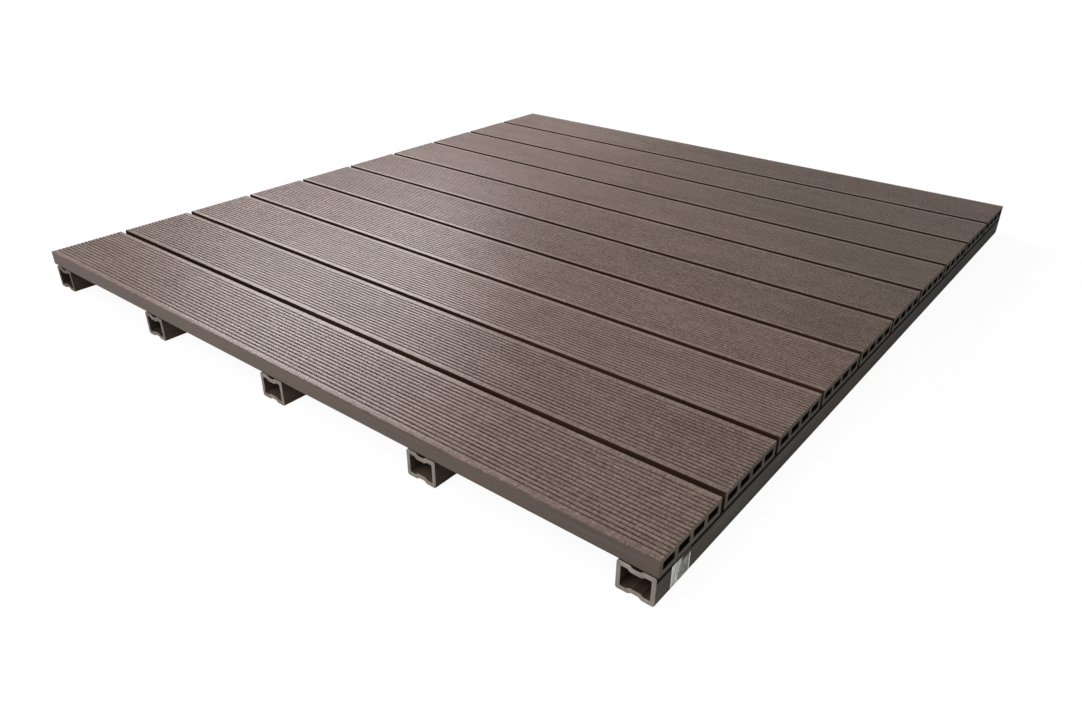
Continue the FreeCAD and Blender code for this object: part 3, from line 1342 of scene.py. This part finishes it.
@dataclass
class Screws:
    """Hexagon head screws, ten in each joist, with a ridged shank and a point."""

    head_radius: float = 3.75
    head_height: float = 2.5
    head_chamfer: float = 0.45
    chamfer_rise: float = 0.27
    rim_width: float = 0.8
    dish_slope: float = 0.3
    dish_depth: float = 0.25
    head_top: float = 3.0
    shank_overlap: float = 0.2
    shank_radius: float = 1.95
    root_radius: float = 1.45
    ridge_pitch: float = 2.0
    tip: float = 57.0
    tip_length: float = 4.0
    sides: int = 12
    smooth_angle: float = math.radians(30)

    def head(self) -> bpy.types.Object:
        """Model the head: a hexagon with its lower corners taken off and a shallow dish.

        Returns:
            The head, at the origin's foot with its dish looking down.
        """
        foot = self.head_top - self.head_height
        thing = upright_bar(6, self.head_radius, foot, self.head_top)
        thing.name = "screw"
        low, outer = foot * MM, (self.head_radius - self.head_chamfer / 2) * MM
        with Bench(thing) as bench:
            bench.pick(Element.FACE, lambda face: near(face.calc_center_median().z, low))
            bpy.ops.mesh.inset(thickness=self.head_chamfer * MM)
            bench.pick(Element.VERT, lambda vert: near(vert.co.z, low) and vert.co.xy.length > outer)
            bench.move(z=self.chamfer_rise * MM)
            bench.pick(Element.FACE, lambda face: near(face.calc_center_median().z, low))
            bpy.ops.mesh.inset(thickness=self.rim_width * MM)
            bpy.ops.mesh.inset(thickness=self.dish_slope * MM, depth=-self.dish_depth * MM)
        return thing

    def shank(self) -> bpy.types.Object:
        """Model the shank: a bar cut into rings, every other ring drawn in to the root.

        Returns:
            The shank, its point up.
        """
        base, top = self.head_top - self.shank_overlap, self.tip - self.tip_length
        thing = upright_bar(self.sides, self.shank_radius, base, top)
        ridges = int((top - base) / self.ridge_pitch)
        places = [(base + (step + 0.5) * self.ridge_pitch / 2) * MM for step in range(2 * ridges - 1)]
        roots = places[::2]
        inner = self.root_radius / self.shank_radius
        with Bench(thing) as bench:
            bench.cut_at(places, axis=2)
            bench.pick(Element.VERT, lambda vert: any(near(vert.co.z, place) for place in roots))
            bpy.ops.transform.resize(value=(inner, inner, 1.0), center_override=(0.0, 0.0, 0.0))
            bench.pick(Element.FACE, lambda face: near(face.calc_center_median().z, top * MM))
            rise = (0.0, 0.0, self.tip_length * MM)
            bpy.ops.mesh.extrude_region_move(TRANSFORM_OT_translate={"value": rise})
            bpy.ops.mesh.merge(type="CENTER")
        return thing

    def build(self, joist_centres: Sequence[float], screw_rows: Sequence[float]) -> list[bpy.types.Object]:
        """Model one screw and set ten copies in each joist.

        Args:
            joist_centres: X of each joist's centre line, in metres.
            screw_rows: Y of each row of screws, in metres.

        Returns:
            One object for each joist, with its ten screws.
        """
        master = join(self.head(), [self.shank()])
        smooth(master, self.smooth_angle)
        master.data.materials.append(StainlessSteel("stainless_tumbled").build())
        sets = []
        for number, centre in enumerate(joist_centres, 1):
            name = "screws_under_joist_%d" % number
            copies = [
                copy_of(master, "%s_%d" % (name, row_number), (centre, row, 0.0))
                for row_number, row in enumerate(screw_rows)
            ]
            screws = join(copies[0], copies[1:])
            screws.name = name
            put_in_frame(screws, "screws_joist_%d" % number)
            sets.append(screws)
        bpy.data.objects.remove(master)
        return sets


@dataclass
class Label:
    """Bare paper label on the outer side of the right joist."""

    corner_radius: float = 1.5
    corner_segments: int = 4
    thickness: float = 0.2
    ripple: float = 0.08
    ripple_size: float = 12.0
    cells: tuple[int, int] = (16, 12)

    def sheet(self, low: Vector, high: Vector) -> bpy.types.Object:
        """Model the flat sheet, cut into cells that can ripple.

        Args:
            low: Its low corner, in metres.
            high: Its high corner, in metres.

        Returns:
            The sheet, with its outer side in the vertex group outside.
        """
        size = (high.y - low.y, high.z - low.z)
        thing = standing_outline("label", (low.y, low.z), size)
        with Bench(thing) as bench:
            bench.round_corners(lambda vert: True, self.corner_radius * MM, self.corner_segments)
            bench.fill()
            for axis, count in enumerate(self.cells, 1):
                places = [low[axis] + size[axis - 1] * step / count for step in range(1, count)]
                bench.cut_at(places, axis)
            bench.pick_all()
            bench.move(x=low.x)
            bench.draw_out(self.thickness * MM)
        face_x = low.x + self.thickness * MM
        outside = thing.vertex_groups.new(name="outside")
        outside.add([vert.index for vert in thing.data.vertices if near(vert.co.x, face_x)], 1.0, "REPLACE")
        return thing

    def build(self) -> bpy.types.Object:
        """Model the label as a thin rounded sheet with faint ripples.

        Returns:
            The finished label.
        """
        low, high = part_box("blank_label")
        thing = self.sheet(low, high)
        clouds = bpy.data.textures.new("ripples", "CLOUDS")
        clouds.noise_scale = self.ripple_size * MM
        apply_modifier(
            thing,
            "DISPLACE",
            texture=clouds,
            texture_coords="LOCAL",
            direction="X",
            strength=self.ripple * MM,
            mid_level=0.5,
            vertex_group="outside",
        )
        thing.vertex_groups.clear()
        smooth(thing)
        corner = (low.y / MM, low.z / MM)
        size = ((high.y - low.y) / MM, (high.z - low.z) / MM)
        thing.data.materials.append(LabelPaper("paper_uncoated", corner, size).build())
        thing.name = "bare_label"
        put_in_frame(thing, "blank_label")
        return thing


@dataclass(frozen=True)
class Lamp:
    """One soft lamp: where it hangs, what it faces, its width and height in metres, its watts."""

    name: str
    place: tuple[float, float, float]
    target: tuple[float, float, float]
    size: tuple[float, float]
    power: float
    tint: str = "#FFFFFF"


@dataclass
class Studio:
    """Camera, lamps, sky and floor."""

    picture: tuple[int, int] = (1082, 722)
    sensor: float = 36.0
    focal_pixels: float = 847.02
    eye: tuple[float, float, float] = (0.95994, -1.30407, 0.66644)
    right: tuple[float, float, float] = (0.78427, 0.62036, 0.00898)
    down: tuple[float, float, float] = (0.31092, -0.38046, -0.87097)
    clip: tuple[float, float] = (0.01, 100.0)
    sky_level: float = 0.38
    floor_size: float = 40.0
    floor_white: float = 0.88
    floor_fade: tuple[float, float] = (1.0, 3.0)
    floor_strength: float = 1.06
    floor_matt: str = "#C8C8C8"
    lamps: tuple[Lamp, ...] = (
        Lamp("overhead", (0.25, -1.9, 1.75), (0.0, -0.2, 0.0), (1.8, 1.8), 47.0),
        Lamp("window", (-2.33, 1.19, 1.52), (0.0, 0.0, 0.0), (1.46, 0.6), 122.0, "#FEF6FC"),
    )

    def set_camera(self) -> None:
        """Stand the camera where the picture was taken from."""
        data = bpy.data.cameras.new("camera")
        data.sensor_width = self.sensor
        data.lens = self.focal_pixels * self.sensor / self.picture[0]
        data.clip_start, data.clip_end = self.clip
        camera = bpy.data.objects.new("camera", data)
        right = Vector(self.right).normalized()
        up = -Vector(self.down)
        up = (up - right * up.dot(right)).normalized()
        turn = Matrix((right, up, right.cross(up))).transposed()
        camera.matrix_world = Matrix.Translation(self.eye) @ turn.to_4x4()
        bpy.context.scene.collection.objects.link(camera)
        bpy.context.scene.camera = camera

    def hang_lamps(self) -> None:
        """Hang the soft lamps."""
        for lamp in self.lamps:
            data = bpy.data.lights.new(lamp.name, "AREA")
            data.shape = "RECTANGLE"
            data.size, data.size_y = lamp.size
            data.energy = lamp.power
            data.color = colour(lamp.tint)[:3]
            thing = bpy.data.objects.new(lamp.name, data)
            thing.location = lamp.place
            way = Vector(lamp.target) - Vector(lamp.place)
            thing.rotation_euler = way.to_track_quat("-Z", "Y").to_euler()
            bpy.context.scene.collection.objects.link(thing)

    def seen_directly(self, add: Adder) -> Any:
        """Say whether a ray comes from the camera, a gloss or a clear piece.

        Args:
            add: Adds a node to the floor or the sky.

        Returns:
            The socket, 1 where it does and 0 where it doesn't.
        """
        seen = add("LightPath", output="Is Camera Ray")
        for ray in ("Is Glossy Ray", "Is Transmission Ray"):
            seen = add("Math", {"operation": "MAXIMUM"}, (seen, add("LightPath", output=ray)))
        return seen

    def set_sky(self) -> None:
        """Light all round at a plain level."""
        world = bpy.data.worlds.new("sky")
        add = clear_nodes(world)
        seen = self.seen_directly(add)
        level = add("Math", TIMES_PLUS, (seen, 1.0 - self.sky_level, self.sky_level))
        light = add("Background", inputs={"Color": colour("#FFFFFF"), "Strength": level})
        add("OutputWorld", inputs={"Surface": light})
        bpy.context.scene.world = world

    def lay_floor(self) -> None:
        """Lay a white floor that keeps a light shadow of the panel and is plain white further out."""
        deselect()
        bpy.ops.mesh.primitive_plane_add(size=self.floor_size)
        floor = bpy.context.object
        floor.name = "floor"
        material = bpy.data.materials.new("floor_white")
        add = clear_nodes(material)
        matt = add("BsdfDiffuse", inputs={"Color": colour(self.floor_matt)})
        white = add("Emission", inputs={"Color": colour("#FFFFFF"), "Strength": self.floor_strength})
        spot = add("TexCoord", output="Object")
        far = add("VectorMath", {"operation": "LENGTH"}, (spot,), "Value")
        share = add("MapRange", STEP, (far, *self.floor_fade, self.floor_white, 1.0))
        share = add("Math", TIMES, (self.seen_directly(add), share))
        mixed = add("MixShader", None, (share, matt, white))
        add("OutputMaterial", inputs={"Surface": mixed})
        floor.data.materials.append(material)

    def build(self) -> None:
        """Set the camera, the lamps, the sky and the floor."""
        bpy.context.scene.view_settings.view_transform = "Standard"
        self.set_camera()
        self.hang_lamps()
        self.set_sky()
        self.lay_floor()
        LOG.info("studio: %d lamps", len(self.lamps))


def centres(nodes: Sequence[str], axis: int) -> list[float]:
    """Say where CAD nodes have their middles along one axis, in metres."""
    return [(low[axis] + high[axis]) / 2 for low, high in map(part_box, nodes)]


def main() -> None:
    """Load the frame, build the studio and the pieces, and note the sizes."""
    logging.basicConfig(level=logging.INFO, format="%(name)s: %(message)s")
    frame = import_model()
    Studio().build()
    joist_centres, screw_rows = centres(JOIST_NODES, 0), centres(BOARD_NODES, 1)
    pieces = DeckBoards().build(joist_centres)
    pieces += Joists().build(screw_rows)
    pieces += Screws().build(joist_centres, screw_rows)
    pieces.append(Label().build())
    LOG.info("%d pieces on %d CAD nodes", len(pieces), len(frame["nodes"]))


if __name__ == "__main__":
    main()
